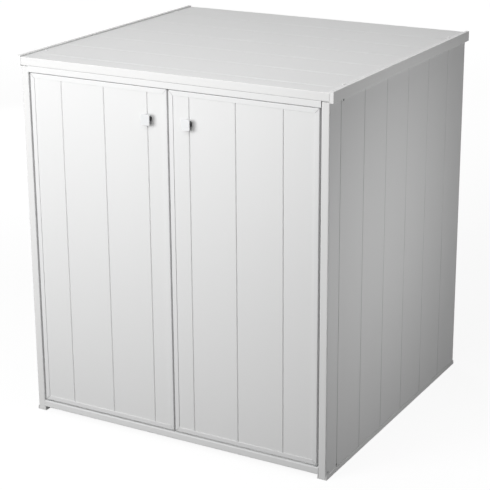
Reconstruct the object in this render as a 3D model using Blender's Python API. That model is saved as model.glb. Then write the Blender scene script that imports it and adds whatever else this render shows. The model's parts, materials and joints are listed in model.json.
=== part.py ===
"""A free-standing cabinet that is put together round a washing machine.

Metres, +Z up. It stands on the floor at z = 0, its doors face -Y, and its bounding box is centred on x = 0 and
y = 0. The carcass is open at the back and at the floor. Two doors swing on pivots at the outer edges.
"""

import math

import bmesh
import bpy
from mathutils import Vector

# The whole cabinet: width over the side panels, depth over their posts, height to the lid's top face
CABINET_WIDTH = 0.840
CABINET_DEPTH = 0.800
CABINET_HEIGHT = 0.940
FIT_GAP = 0.0003
CUT_OVERRUN = 0.004

# Grooved boards of the sides and the lid
PANEL_THICKNESS = 0.020
PANEL_BOARD_WIDTH = 0.125
SIDE_FIRST_BOARD = 0.059
LID_FIRST_BOARD = 0.0575
GROOVE_WIDTH = 0.003
GROOVE_DEPTH = 0.0006
JOINT_LINE_WIDTH = 0.0014
JOINT_LINE_DEPTH = 0.0018
SMALLEST_BOARD = 0.020

# Lid
LID_THICKNESS = 0.020
LID_SIDE_OVERHANG = 0.010
LID_FRONT_OVERHANG = 0.002
LID_TRIM_CLEARANCE = 0.0005
LID_TRIM_PROUD = 0.003
LID_TRIM_DROP = 0.003
LID_TRIM_JOINT = 0.0006
LID_TRIM_ROUNDING = 0.0012

# Edge strips and posts, pressed into a slot in the panel's edge
EDGE_THICKNESS = 0.0035
POST_ROUNDING = 0.0025
POST_END_GAP = 0.002
LID_EDGE_ROUNDING = 0.0015
TONGUE_THICKNESS = 0.0024
TONGUE_LENGTH = 0.006

# Channel under each side panel
CHANNEL_HEIGHT = 0.010
CHANNEL_WEB = 0.002
CHANNEL_WALL = 0.0012
CHANNEL_FLARE = 0.0012

# Rails between the side panels
RAIL_DEPTH = 0.085
TOP_RAIL_THICKNESS = 0.0155
BOTTOM_RAIL_THICKNESS = 0.018
TOP_RAIL_PROUD = 0.0017
TOP_RAIL_ROUNDING = 0.001
BOTTOM_RAIL_ROUNDING = 0.0025

# Doors
DOOR_SIDE_GAP = 0.0046
DOOR_MIDDLE_GAP = 0.0038
DOOR_TOP_GAP = 0.002
DOOR_BOTTOM_GAP = 0.0045
DOOR_SETBACK = 0.0005
DOOR_THICKNESS = 0.016
DOOR_BOARD_WIDTH = 0.1235
DOOR_FIRST_BOARD = 0.0556
BOARD_CHAMFER = 0.0014
BOARD_JOINT_GAP = 0.0006
JOINT_TONGUE_THICKNESS = 0.004
JOINT_TONGUE_LENGTH = 0.005

# Channel frame round each door
FRAME_FACE = 0.012
FRAME_WEB = 0.002
FRAME_LIP = 0.0012
FRAME_ROUNDING = 0.002
LIP_ROUNDING = 0.0005
MITRE_GAP = 0.0008

# Pivots and their bushes
PIN_RADIUS = 0.003
PIN_END_CLEARANCE = 0.001
PIN_CHAMFER = 0.0006
BLOCK_ROUNDING = 0.0008
BUSH_RADIUS = 0.005
BUSH_LENGTH = 0.008
BUSH_FLANGE_RADIUS = 0.0065

# Knobs, each a little off the groove next to the latch edge
KNOB_FROM_GROOVE = 0.0024
KNOB_BELOW_TOP = 0.113
KNOB_WIDTH = 0.0225
KNOB_TALL = 0.026
KNOB_PROJECTION = 0.016
KNOB_PLATE = 0.0045
KNOB_CORNER = 0.002
KNOB_EDGE = 0.0006
NECK_WIDTH = 0.020
NECK_TALL = 0.014
NECK_CORNER = 0.003
KNOB_BORE_DEPTH = 0.009

# Screws
SCREW_RADIUS = 0.002
SCREW_HEAD_RADIUS = 0.003
SCREW_HEAD_THICKNESS = 0.0015
LID_SCREW_HEAD_RADIUS = 0.0038
LID_SCREW_HEAD_THICKNESS = 0.0018
KNOB_SCREW_HEAD_RADIUS = 0.0042
KNOB_SCREW_HEAD_THICKNESS = 0.0022
KNOB_SCREW_END_CLEARANCE = 0.001
SCREW_LENGTH = 0.045
LID_SCREW_FROM_ENDS = 0.090
RAIL_SCREW_SETBACK = 0.013
RAIL_SCREW_SPACING = 0.045
TOP_SCREW_SETBACK = 0.071
BOTTOM_SCREW_RISE = 0.006
TOP_SCREW_RISE = 0.0055

# A domed screw head's rim, shoulder and flat top, as shares of its radius and height
DOME_RIM_RISE_SHARE = 0.33
DOME_SHOULDER_SHARE = 0.8
DOME_SHOULDER_RISE_SHARE = 0.75
DOME_TOP_SHARE = 0.4

# Catches and strike plates
PLATE_WIDTH = 0.028
PLATE_HEIGHT = 0.011
PLATE_THICKNESS = 0.001
PLATE_CORNER = 0.001
CATCH_FROM_MIDDLE = 0.040
CATCH_BODY_WIDTH = 0.028
CATCH_FLANGE_WIDTH = 0.044
CATCH_FLANGE_THICKNESS = 0.002
CATCH_HEIGHT = 0.017
CATCH_DEPTH = 0.015

# Points this close are one point
MERGE_DISTANCE = 0.00001

# How finely round things are faceted
ARC_STEPS = 6
RING_CORNER_STEPS = 3
SMOOTH_ANGLE = math.radians(35)
QUARTER_TURN = math.radians(90)
HALF_TURN = math.radians(180)

# Places that follow from the sizes above, in the carcass frame: y = 0 is the front of the posts
HALF_WIDTH = CABINET_WIDTH / 2
HALF_INSIDE = HALF_WIDTH - PANEL_THICKNESS
LID_UNDERSIDE = CABINET_HEIGHT - LID_THICKNESS
LID_TRIM_WIDTH = LID_SIDE_OVERHANG - LID_TRIM_CLEARANCE
LID_TRIM_HEIGHT = LID_TRIM_DROP + LID_THICKNESS + LID_TRIM_PROUD
SIDE_BOTTOM = CHANNEL_WEB + FIT_GAP
SIDE_HEIGHT = LID_UNDERSIDE - FIT_GAP - SIDE_BOTTOM
PANEL_FRONT = EDGE_THICKNESS + FIT_GAP
BOTTOM_RAIL_UNDERSIDE = CHANNEL_HEIGHT + FIT_GAP
BOTTOM_RAIL_TOP = BOTTOM_RAIL_UNDERSIDE + BOTTOM_RAIL_THICKNESS
TOP_RAIL_TOP = LID_UNDERSIDE - FIT_GAP
TOP_RAIL_UNDERSIDE = TOP_RAIL_TOP - TOP_RAIL_THICKNESS
DOOR_BOTTOM = BOTTOM_RAIL_TOP + DOOR_BOTTOM_GAP
DOOR_HEIGHT = TOP_RAIL_UNDERSIDE - DOOR_TOP_GAP - DOOR_BOTTOM
DOOR_WIDTH = HALF_INSIDE - DOOR_SIDE_GAP - DOOR_MIDDLE_GAP / 2
BOARD_SETBACK = FRAME_LIP + FIT_GAP
BOARD_THICKNESS = DOOR_THICKNESS - BOARD_SETBACK - BOARD_SETBACK
PIVOT_INSET = (FRAME_WEB + FRAME_FACE) / 2
PIVOT_X = HALF_INSIDE - DOOR_SIDE_GAP - PIVOT_INSET
PIVOT_DEPTH = DOOR_THICKNESS / 2
PIVOT_BACK = DOOR_SETBACK + PIVOT_DEPTH
KNOB_INSET = DOOR_FIRST_BOARD - KNOB_FROM_GROOVE
KNOB_HEIGHT = CABINET_HEIGHT - KNOB_BELOW_TOP
KNOB_BACK = BOARD_SETBACK - FIT_GAP
KNOB_REACH = KNOB_PROJECTION - KNOB_BACK - DOOR_SETBACK
MITRE_BACKOFF = MITRE_GAP / math.sqrt(2)
BORE_RADIUS = SCREW_RADIUS + FIT_GAP

# Where the carcass frame stands, so that the knobs' faces and the back are equally far from y = 0
CARCASS_FRONT_Y = (KNOB_REACH - CABINET_DEPTH) / 2


def clear_scene():
    """Take out whatever the file starts with."""
    for thing in list(bpy.data.objects):
        bpy.data.objects.remove(thing)


def finish(name, colour, roughness, metallic):
    """A plain material for one kind of piece."""
    material = bpy.data.materials.new(name)
    material.use_nodes = True
    shader = material.node_tree.nodes["Principled BSDF"]
    shader.inputs["Base Color"].default_value = (*colour, 1)
    shader.inputs["Roughness"].default_value = roughness
    shader.inputs["Metallic"].default_value = metallic
    material.diffuse_color = (*colour, 1)
    return material


def frame_empty(name, location, parent=None):
    """An empty that pieces hang from. A door's empty is on its pivot axis."""
    empty = bpy.data.objects.new(name, None)
    bpy.context.scene.collection.objects.link(empty)
    empty.location = location
    empty.parent = parent
    return empty


def add_object(name, shape, parent, location, rotation):
    """An object made from a closed shape, with coinciding points merged and its faces turned outwards."""
    bmesh.ops.remove_doubles(shape, verts=shape.verts, dist=MERGE_DISTANCE)
    bmesh.ops.recalc_face_normals(shape, faces=shape.faces)
    mesh = bpy.data.meshes.new(name)
    shape.to_mesh(mesh)
    shape.free()
    thing = bpy.data.objects.new(name, mesh)
    bpy.context.scene.collection.objects.link(thing)
    thing.parent = parent
    thing.location = location
    thing.rotation_euler = rotation
    return thing


def solid(name, shape, material, parent, location=(0, 0, 0), rotation=(0, 0, 0), smooth=False):
    """One piece of the cabinet."""
    piece = add_object(name, shape, parent, location, rotation)
    piece.data.materials.append(material)
    if smooth:
        piece.data.shade_smooth()
        piece.data.set_sharp_from_angle(angle=SMOOTH_ANGLE)
    return piece


def cutter(name, shape, parent, location=(0, 0, 0), rotation=(0, 0, 0)):
    """A helper that only takes material away."""
    tool = add_object(name, shape, parent, location, rotation)
    tool.hide_render = True
    tool.display_type = "WIRE"
    return tool


def cut(piece, tool):
    """Take a cutter's shape out of a piece."""
    step = piece.modifiers.new("cut_" + tool.name, "BOOLEAN")
    step.operation = "DIFFERENCE"
    step.solver = "EXACT"
    step.object = tool


def arc(centre_a, centre_b, radius, start, steps=ARC_STEPS):
    """A quarter circle of points, from this angle on, anticlockwise."""
    points = []
    for step in range(steps + 1):
        angle = start + QUARTER_TURN * step / steps
        points.append((centre_a + radius * math.cos(angle), centre_b + radius * math.sin(angle)))
    return points


def rounded_rectangle(low_a, low_b, high_a, high_b, radius):
    """A rectangle's outline with round corners, anticlockwise."""
    outline = []
    outline += arc(high_a - radius, high_b - radius, radius, 0)
    outline += arc(low_a + radius, high_b - radius, radius, QUARTER_TURN)
    outline += arc(low_a + radius, low_b + radius, radius, HALF_TURN)
    outline += arc(high_a - radius, low_b + radius, radius, -QUARTER_TURN)
    return outline


def upright(across, back, along):
    """A bar that runs up: its outline is seen from above."""
    return (across, back, along)


def crosswise(up, back, along):
    """A bar that runs from left to right: its outline is seen from the side."""
    return (along, back, up)


def lengthwise(across, up, along):
    """A bar that runs from front to back: its outline is seen from the front."""
    return (across, along, up)


def no_inset(first, second):
    """Ends cut square."""
    return 0


def bar(outline, place, start, end, inset=no_inset):
    """An outline drawn out from start to end. Each point can be inset from both ends, which mitres them."""
    shape = bmesh.new()
    near = [shape.verts.new(place(a, b, start + inset(a, b))) for a, b in outline]
    far = [shape.verts.new(place(a, b, end - inset(a, b))) for a, b in outline]
    shape.faces.new(near)
    shape.faces.new(far)
    for index, point in enumerate(near):
        shape.faces.new((near[index - 1], point, far[index], far[index - 1]))
    return shape


def ring(half_a, half_b, corner, height):
    """A level ring with round corners: a circle where both halves equal the corner's radius."""
    corners = (
        (half_a - corner, half_b - corner, 0),
        (corner - half_a, half_b - corner, QUARTER_TURN),
        (corner - half_a, corner - half_b, HALF_TURN),
        (half_a - corner, corner - half_b, -QUARTER_TURN),
    )
    points = []
    for centre, other, start in corners:
        points += [(a, b, height) for a, b in arc(centre, other, corner, start, RING_CORNER_STEPS)]
    return points


def circle(radius, height):
    """A level circle, with its points placed as in every other ring."""
    points = []
    count = 4 * (RING_CORNER_STEPS + 1)
    for step in range(count):
        angle = 2 * math.pi * step / count
        points.append((radius * math.cos(angle), radius * math.sin(angle), height))
    return points


def loft(rings, closed=False):
    """A skin from ring to ring. It is capped at both ends, or joined round on itself like a tube."""
    shape = bmesh.new()
    layers = [[shape.verts.new(point) for point in points] for points in rings]
    if closed:
        layers.append(layers[0])
    else:
        shape.faces.new(layers[0])
        shape.faces.new(layers[-1])
    for lower, upper in zip(layers, layers[1:]):
        for index, point in enumerate(lower):
            shape.faces.new((lower[index - 1], point, upper[index], upper[index - 1]))
    return shape


def joined(shapes):
    """Several shapes as one, for a cutter that opens several holes."""
    whole = bmesh.new()
    for shape in shapes:
        mesh = bpy.data.meshes.new("joining")
        shape.to_mesh(mesh)
        shape.free()
        whole.from_mesh(mesh)
        bpy.data.meshes.remove(mesh)
    return whole


def moved(shape, offset):
    """The shape, shifted."""
    bmesh.ops.translate(shape, verts=shape.verts, vec=Vector(offset))
    return shape


def groove_places(first, pitch, end):
    """Where the grooves between boards lie, from the first board's edge on."""
    places = []
    place = first
    while place < end - SMALLEST_BOARD:
        places.append(place)
        place += pitch
    return places


def groove_outline(place):
    """A groove's section, as (depth, place) points: a V that runs into the narrow line of the boards' joint."""
    lip = GROOVE_WIDTH / 2
    line = JOINT_LINE_WIDTH / 2
    bottom = GROOVE_DEPTH + JOINT_LINE_DEPTH
    near = [(0, place - lip), (GROOVE_DEPTH, place - line), (bottom, place - line)]
    far = [(bottom, place + line), (GROOVE_DEPTH, place + line), (0, place + lip)]
    return near + far


def panel_outline(thickness, start, end, grooves):
    """A panel's section: grooved on both faces, with a slot for an edge strip's tongue in both ends."""
    half = thickness / 2
    slot = TONGUE_THICKNESS / 2 + FIT_GAP
    slot_depth = TONGUE_LENGTH
    outline = [(-half, start), (-slot, start), (-slot, start + slot_depth), (slot, start + slot_depth), (slot, start)]
    outline.append((half, start))
    for place in grooves:
        outline += [(half - depth, along) for depth, along in groove_outline(place)]
    outline += [(half, end), (slot, end), (slot, end - slot_depth), (-slot, end - slot_depth), (-slot, end)]
    outline.append((-half, end))
    for place in reversed(grooves):
        outline += [(depth - half, along) for depth, along in reversed(groove_outline(place))]
    return outline


def edge_outline(width, rounding):
    """An edge strip's section: round outer corners at 0, and a tongue behind it."""
    half = width / 2
    outline = arc(rounding - half, rounding, rounding, HALF_TURN)
    outline += arc(half - rounding, rounding, rounding, -QUARTER_TURN)
    tongue = TONGUE_THICKNESS / 2
    tip = EDGE_THICKNESS + TONGUE_LENGTH
    outline += [(half, EDGE_THICKNESS), (tongue, EDGE_THICKNESS), (tongue, tip)]
    outline += [(-tongue, tip), (-tongue, EDGE_THICKNESS), (-half, EDGE_THICKNESS)]
    return outline


def channel_outline():
    """The channel under a side panel: straight inside, flared outside towards the floor."""
    inner = PANEL_THICKNESS / 2 + FIT_GAP
    outer = inner + CHANNEL_WALL
    foot = outer + CHANNEL_FLARE
    return [
        (-foot, 0),
        (foot, 0),
        (outer, CHANNEL_HEIGHT),
        (inner, CHANNEL_HEIGHT),
        (inner, CHANNEL_WEB),
        (-inner, CHANNEL_WEB),
        (-inner, CHANNEL_HEIGHT),
        (-outer, CHANNEL_HEIGHT),
    ]


def frame_outline():
    """A door frame's section: (from the outer edge inwards, from the front backwards)."""
    back = DOOR_THICKNESS
    outline = arc(FRAME_ROUNDING, back - FRAME_ROUNDING, FRAME_ROUNDING, QUARTER_TURN)
    outline += arc(FRAME_ROUNDING, FRAME_ROUNDING, FRAME_ROUNDING, HALF_TURN)
    outline += arc(FRAME_FACE - LIP_ROUNDING, LIP_ROUNDING, LIP_ROUNDING, -QUARTER_TURN)
    outline += [(FRAME_FACE, FRAME_LIP), (FRAME_WEB, FRAME_LIP)]
    outline += [(FRAME_WEB, back - FRAME_LIP), (FRAME_FACE, back - FRAME_LIP)]
    outline += arc(FRAME_FACE - LIP_ROUNDING, back - LIP_ROUNDING, LIP_ROUNDING, 0)
    return outline


def board_outline(start, end, groove_at_start, tongue_at_end):
    """A door board's section: (from the door's hinge edge, from its front), chamfered at its joints."""
    front = BOARD_SETBACK
    back = front + BOARD_THICKNESS
    middle = (front + back) / 2
    half_tongue = JOINT_TONGUE_THICKNESS / 2
    half_groove = half_tongue + FIT_GAP
    outline = []
    if groove_at_start:
        bottom = start + JOINT_TONGUE_LENGTH
        outline += [(start + BOARD_CHAMFER, back), (start, back - BOARD_CHAMFER), (start, middle + half_groove)]
        outline += [(bottom, middle + half_groove), (bottom, middle - half_groove)]
        outline += [(start, middle - half_groove), (start, front + BOARD_CHAMFER), (start + BOARD_CHAMFER, front)]
    else:
        outline += [(start, back), (start, front)]
    if tongue_at_end:
        tip = end + JOINT_TONGUE_LENGTH
        outline += [(end - BOARD_CHAMFER, front), (end, front + BOARD_CHAMFER), (end, middle - half_tongue)]
        outline += [(tip, middle - half_tongue), (tip, middle + half_tongue)]
        outline += [(end, middle + half_tongue), (end, back - BOARD_CHAMFER), (end - BOARD_CHAMFER, back)]
    else:
        outline += [(end, front), (end, back)]
    return outline


def screw_shape(head_radius, head_thickness, length):
    """A round-headed screw standing on its point: the underside of its head is at z = 0."""
    rings = [circle(SCREW_RADIUS / 2, -length), circle(SCREW_RADIUS, SCREW_RADIUS - length)]
    rings += [circle(SCREW_RADIUS, 0), circle(head_radius, 0)]
    rings.append(circle(head_radius, head_thickness * DOME_RIM_RISE_SHARE))
    rings.append(circle(head_radius * DOME_SHOULDER_SHARE, head_thickness * DOME_SHOULDER_RISE_SHARE))
    rings.append(circle(head_radius * DOME_TOP_SHARE, head_thickness))
    return loft(rings)


def bore_shape(radius, depth):
    """A round hole of this depth below z = 0, run on above it."""
    return loft([circle(radius, -depth), circle(radius, CUT_OVERRUN)])


def recessed_bore_shape(head_radius, depth):
    """A screw's hole whose head is let in: a bore for the shank, and a wider recess from z = 0 up."""
    recess = head_radius + FIT_GAP
    rings = [circle(BORE_RADIUS, -depth), circle(BORE_RADIUS, -FIT_GAP)]
    rings += [circle(recess, -FIT_GAP), circle(recess, CUT_OVERRUN)]
    return loft(rings)


def make_lid(carcass, finishes):
    """The lid: a grooved panel with a strip along its front and rear edges, between two side trims.

    The trims stand proud of the panel, and reach a little way down beside the side panels.
    """
    half_width = HALF_WIDTH + LID_SIDE_OVERHANG
    half_panel = half_width - LID_TRIM_WIDTH - LID_TRIM_JOINT
    depth = CABINET_DEPTH + LID_FRONT_OVERHANG
    middle_height = CABINET_HEIGHT - LID_THICKNESS / 2
    grooves = groove_places(LID_FIRST_BOARD, PANEL_BOARD_WIDTH, depth)
    outline = panel_outline(LID_THICKNESS, PANEL_FRONT, depth - PANEL_FRONT, grooves)
    panel = solid(
        "lid_panel",
        bar(outline, crosswise, -half_panel, half_panel),
        finishes["paint"],
        carcass,
        (0, -LID_FRONT_OVERHANG, middle_height),
    )
    strip = edge_outline(LID_THICKNESS, LID_EDGE_ROUNDING)
    for name, back, turn in (("lid_front_edge", -LID_FRONT_OVERHANG, 0), ("lid_rear_edge", CABINET_DEPTH, HALF_TURN)):
        solid(
            name,
            bar(strip, crosswise, -half_panel, half_panel),
            finishes["edging"],
            carcass,
            (0, back, middle_height),
            (0, 0, turn),
        )
    trim = rounded_rectangle(0, 0, LID_TRIM_WIDTH, LID_TRIM_HEIGHT, LID_TRIM_ROUNDING)
    for name, across in (("lid_left_edge", -half_width), ("lid_right_edge", half_width - LID_TRIM_WIDTH)):
        solid(
            name,
            bar(trim, lengthwise, 0, depth),
            finishes["edging"],
            carcass,
            (across, -LID_FRONT_OVERHANG, LID_UNDERSIDE - LID_TRIM_DROP),
        )
    return panel


def make_side(carcass, name, side, finishes):
    """A side panel with its front and rear posts and the channel that it stands in."""
    across = side * (HALF_WIDTH - PANEL_THICKNESS / 2)
    grooves = groove_places(SIDE_FIRST_BOARD, PANEL_BOARD_WIDTH, CABINET_DEPTH)
    outline = panel_outline(PANEL_THICKNESS, PANEL_FRONT, CABINET_DEPTH - PANEL_FRONT, grooves)
    panel = solid(
        name + "_side_panel",
        bar(outline, upright, 0, SIDE_HEIGHT),
        finishes["paint"],
        carcass,
        (across, 0, SIDE_BOTTOM),
    )
    for post, back, turn in (("_front_post", 0, 0), ("_rear_post", CABINET_DEPTH, HALF_TURN)):
        solid(
            name + post,
            bar(edge_outline(PANEL_THICKNESS, POST_ROUNDING), upright, 0, SIDE_HEIGHT - POST_END_GAP),
            finishes["edging"],
            carcass,
            (across, back, SIDE_BOTTOM),
            (0, 0, turn),
        )
    solid(
        name + "_bottom_channel",
        bar(channel_outline(), lengthwise, 0, CABINET_DEPTH),
        finishes["edging"],
        carcass,
        (across, 0, 0),
    )
    return panel


def make_rail(carcass, name, place, outline, turn, material):
    """A plank between the side panels, its front at its own y = 0."""
    half_length = HALF_INSIDE - FIT_GAP
    shape = bar(outline, crosswise, -half_length, half_length)
    return solid(name, shape, material, carcass, place, (0, 0, turn))


def make_rails(carcass, finishes):
    """The four rails. The front top rail stands proud of the posts."""
    paint = finishes["paint"]
    top_front = rounded_rectangle(0, -TOP_RAIL_PROUD, TOP_RAIL_THICKNESS, RAIL_DEPTH, TOP_RAIL_ROUNDING)
    top_rear = rounded_rectangle(0, 0, TOP_RAIL_THICKNESS, RAIL_DEPTH, TOP_RAIL_ROUNDING)
    bottom = rounded_rectangle(0, 0, BOTTOM_RAIL_THICKNESS, RAIL_DEPTH, BOTTOM_RAIL_ROUNDING)
    rails = {}
    for end, back, turn in (("front", 0, 0), ("rear", CABINET_DEPTH, HALF_TURN)):
        top = top_front if end == "front" else top_rear
        top_place = (0, back, TOP_RAIL_UNDERSIDE)
        bottom_place = (0, back, BOTTOM_RAIL_UNDERSIDE)
        rails[end + "_top"] = make_rail(carcass, end + "_top_rail", top_place, top, turn, paint)
        rails[end + "_bottom"] = make_rail(carcass, end + "_bottom_rail", bottom_place, bottom, turn, paint)
    return rails


def make_lid_screws(carcass, finishes, lid_panel, sides):
    """Screws with small domed heads through the lid into the tops of the side panels."""
    across = HALF_WIDTH - PANEL_THICKNESS / 2
    holes = []
    for left_right, side in (("left", -1), ("right", 1)):
        ends = (("front", LID_SCREW_FROM_ENDS), ("rear", CABINET_DEPTH - LID_SCREW_FROM_ENDS))
        for front_rear, back in ends:
            place = (side * across, back, CABINET_HEIGHT + FIT_GAP)
            shape = screw_shape(LID_SCREW_HEAD_RADIUS, LID_SCREW_HEAD_THICKNESS, SCREW_LENGTH)
            solid(f"{left_right}_{front_rear}_lid_screw", shape, finishes["edging"], carcass, place, smooth=True)
            holes.append(moved(bore_shape(BORE_RADIUS, SCREW_LENGTH + FIT_GAP), place))
    tool = cutter("lid_screw_bores", joined(holes), carcass)
    for piece in (lid_panel, *sides.values()):
        cut(piece, tool)


def make_rail_screws(carcass, finishes, sides, rails):
    """Screws through the side panels into the ends of the front rails, their heads let into the panel."""
    bottom = BOTTOM_RAIL_UNDERSIDE + BOTTOM_SCREW_RISE
    top = TOP_RAIL_UNDERSIDE + TOP_SCREW_RISE
    places = (
        ("bottom_rail_front_screw", "front_bottom", RAIL_SCREW_SETBACK, bottom),
        ("bottom_rail_back_screw", "front_bottom", RAIL_SCREW_SETBACK + RAIL_SCREW_SPACING, bottom),
        ("top_rail_screw", "front_top", TOP_SCREW_SETBACK, top),
    )
    head_seat = HALF_WIDTH - SCREW_HEAD_THICKNESS
    for left_right, side in (("left", -1), ("right", 1)):
        turn = (0, side * QUARTER_TURN, 0)
        for name, rail, back, height in places:
            place = (side * head_seat, back, height)
            shape = screw_shape(SCREW_HEAD_RADIUS, SCREW_HEAD_THICKNESS, SCREW_LENGTH)
            solid(f"{left_right}_{name}", shape, finishes["dark_steel"], carcass, place, turn, smooth=True)
            bore = recessed_bore_shape(SCREW_HEAD_RADIUS, SCREW_LENGTH + FIT_GAP)
            tool = cutter(f"{left_right}_{name}_bore", bore, carcass, place, turn)
            cut(sides[left_right], tool)
            cut(rails[rail], tool)


def bush_shape(door_gap):
    """A flanged ring: the barrel runs down from z = 0, and the flange on the rail fills this gap to the door."""
    bore = PIN_RADIUS + FIT_GAP
    flange = door_gap - FIT_GAP
    rings = [circle(bore, -BUSH_LENGTH), circle(BUSH_RADIUS, -BUSH_LENGTH), circle(BUSH_RADIUS, FIT_GAP)]
    rings += [circle(BUSH_FLANGE_RADIUS, FIT_GAP), circle(BUSH_FLANGE_RADIUS, flange), circle(bore, flange)]
    return loft(rings, closed=True)


def make_bushes(carcass, finishes, rails):
    """The bushes that the door pivots turn in, let into the front rails."""
    ends = (
        ("lower", "front_bottom", BOTTOM_RAIL_TOP, DOOR_BOTTOM_GAP, 0),
        ("upper", "front_top", TOP_RAIL_UNDERSIDE, DOOR_TOP_GAP, HALF_TURN),
    )
    hole = BUSH_RADIUS + FIT_GAP
    for left_right, side in (("left", -1), ("right", 1)):
        for level, rail, height, door_gap, turn in ends:
            place = (side * PIVOT_X, PIVOT_BACK, height)
            name = f"{left_right}_{level}_bush"
            solid(name, bush_shape(door_gap), finishes["nylon"], carcass, place, (turn, 0, 0), smooth=True)
            socket = bore_shape(hole, BUSH_LENGTH + FIT_GAP)
            cut(rails[rail], cutter(name + "_socket", socket, carcass, place, (turn, 0, 0)))


def make_catches(carcass, finishes):
    """A magnetic catch for each door, under the front top rail. It also stops the door."""
    half_body = CATCH_BODY_WIDTH / 2
    half_flange = CATCH_FLANGE_WIDTH / 2
    outline = [
        (-half_flange, 0),
        (-half_flange, -CATCH_FLANGE_THICKNESS),
        (-half_body, -CATCH_FLANGE_THICKNESS),
        (-half_body, -CATCH_HEIGHT),
        (half_body, -CATCH_HEIGHT),
        (half_body, -CATCH_FLANGE_THICKNESS),
        (half_flange, -CATCH_FLANGE_THICKNESS),
        (half_flange, 0),
    ]
    front = DOOR_SETBACK + DOOR_THICKNESS + FIT_GAP + PLATE_THICKNESS + FIT_GAP
    for left_right, side in (("left", -1), ("right", 1)):
        shape = bar(outline, lengthwise, 0, CATCH_DEPTH)
        place = (side * CATCH_FROM_MIDDLE, front, TOP_RAIL_UNDERSIDE - FIT_GAP)
        solid(left_right + "_magnetic_catch", shape, finishes["nylon"], carcass, place)


def door_place(across, back, height, side):
    """A point of a door, from its hinge edge, front and bottom, to its frame on the pivot axis."""
    return (side * (PIVOT_INSET - across), back - PIVOT_DEPTH, height)


def to_door(shape, side):
    """A shape built in a door's own sizes, moved into its frame. A left door is a mirror image."""
    for vertex in shape.verts:
        vertex.co = door_place(vertex.co.x, vertex.co.y, vertex.co.z, side)
    return shape


def frame_mitre(inwards, back):
    """A frame piece's mitre follows its distance from the door's outer edge."""
    return inwards + MITRE_BACKOFF


def door_frame_shapes():
    """The four mitred channels round a door, each with its name."""
    outline = frame_outline()

    def hinge_stile(inwards, back, along):
        return (inwards, back, along)

    def latch_stile(inwards, back, along):
        return (DOOR_WIDTH - inwards, back, along)

    def bottom_piece(inwards, back, along):
        return (along, back, inwards)

    def top_piece(inwards, back, along):
        return (along, back, DOOR_HEIGHT - inwards)

    return {
        "hinge_stile": bar(outline, hinge_stile, 0, DOOR_HEIGHT, frame_mitre),
        "latch_stile": bar(outline, latch_stile, 0, DOOR_HEIGHT, frame_mitre),
        "bottom_frame": bar(outline, bottom_piece, 0, DOOR_WIDTH, frame_mitre),
        "top_frame": bar(outline, top_piece, 0, DOOR_WIDTH, frame_mitre),
    }


def door_board_shapes():
    """The boards of a door, from the latch edge to the hinge edge."""
    first = FRAME_WEB + FIT_GAP
    joints = [DOOR_WIDTH - place for place in groove_places(DOOR_FIRST_BOARD, DOOR_BOARD_WIDTH, DOOR_WIDTH)]
    joints.reverse()
    starts = [first] + [joint + BOARD_JOINT_GAP / 2 for joint in joints]
    ends = [joint - BOARD_JOINT_GAP / 2 for joint in joints] + [DOOR_WIDTH - first]
    shapes = []
    for index, (start, end) in enumerate(zip(starts, ends)):
        outline = board_outline(start, end, index > 0, index < len(joints))
        shapes.append(bar(outline, upright, first, DOOR_HEIGHT - first))
    shapes.reverse()
    return shapes


def pivot_shape(door_gap):
    """A corner block whose pin stands up out of it and across this gap, from the door's end at z = 0."""
    half_across = (FRAME_FACE - FRAME_WEB) / 2 - FIT_GAP
    half_back = BOARD_THICKNESS / 2
    block_top = -FRAME_WEB - FIT_GAP
    block_bottom = FIT_GAP - FRAME_FACE
    pin_top = door_gap + BUSH_LENGTH - PIN_END_CLEARANCE
    rings = [
        ring(half_across, half_back, BLOCK_ROUNDING, block_bottom),
        ring(half_across, half_back, BLOCK_ROUNDING, block_top),
        circle_as_ring(PIN_RADIUS, block_top),
        circle_as_ring(PIN_RADIUS, pin_top - PIN_CHAMFER),
        circle_as_ring(PIN_RADIUS - PIN_CHAMFER, pin_top),
    ]
    return loft(rings)


def circle_as_ring(radius, height):
    """A circle whose points pair with those of a ring with round corners."""
    return ring(radius, radius, radius, height)


def knob_shape():
    """A square-cornered knob on a block neck, its back at z = 0, with a bore for its screw."""
    half_width = KNOB_WIDTH / 2
    half_tall = KNOB_TALL / 2
    plate_back = KNOB_PROJECTION - KNOB_PLATE
    inner_width = half_width - KNOB_EDGE
    inner_tall = half_tall - KNOB_EDGE
    rings = [
        circle_as_ring(BORE_RADIUS, KNOB_BORE_DEPTH),
        circle_as_ring(BORE_RADIUS, 0),
        ring(NECK_WIDTH / 2, NECK_TALL / 2, NECK_CORNER, 0),
        ring(NECK_WIDTH / 2, NECK_TALL / 2, NECK_CORNER, plate_back),
        ring(inner_width, inner_tall, KNOB_CORNER, plate_back),
        ring(half_width, half_tall, KNOB_CORNER, plate_back + KNOB_EDGE),
        ring(half_width, half_tall, KNOB_CORNER, KNOB_PROJECTION - KNOB_EDGE),
        ring(inner_width, inner_tall, KNOB_CORNER, KNOB_PROJECTION),
    ]
    return loft(rings)


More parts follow.
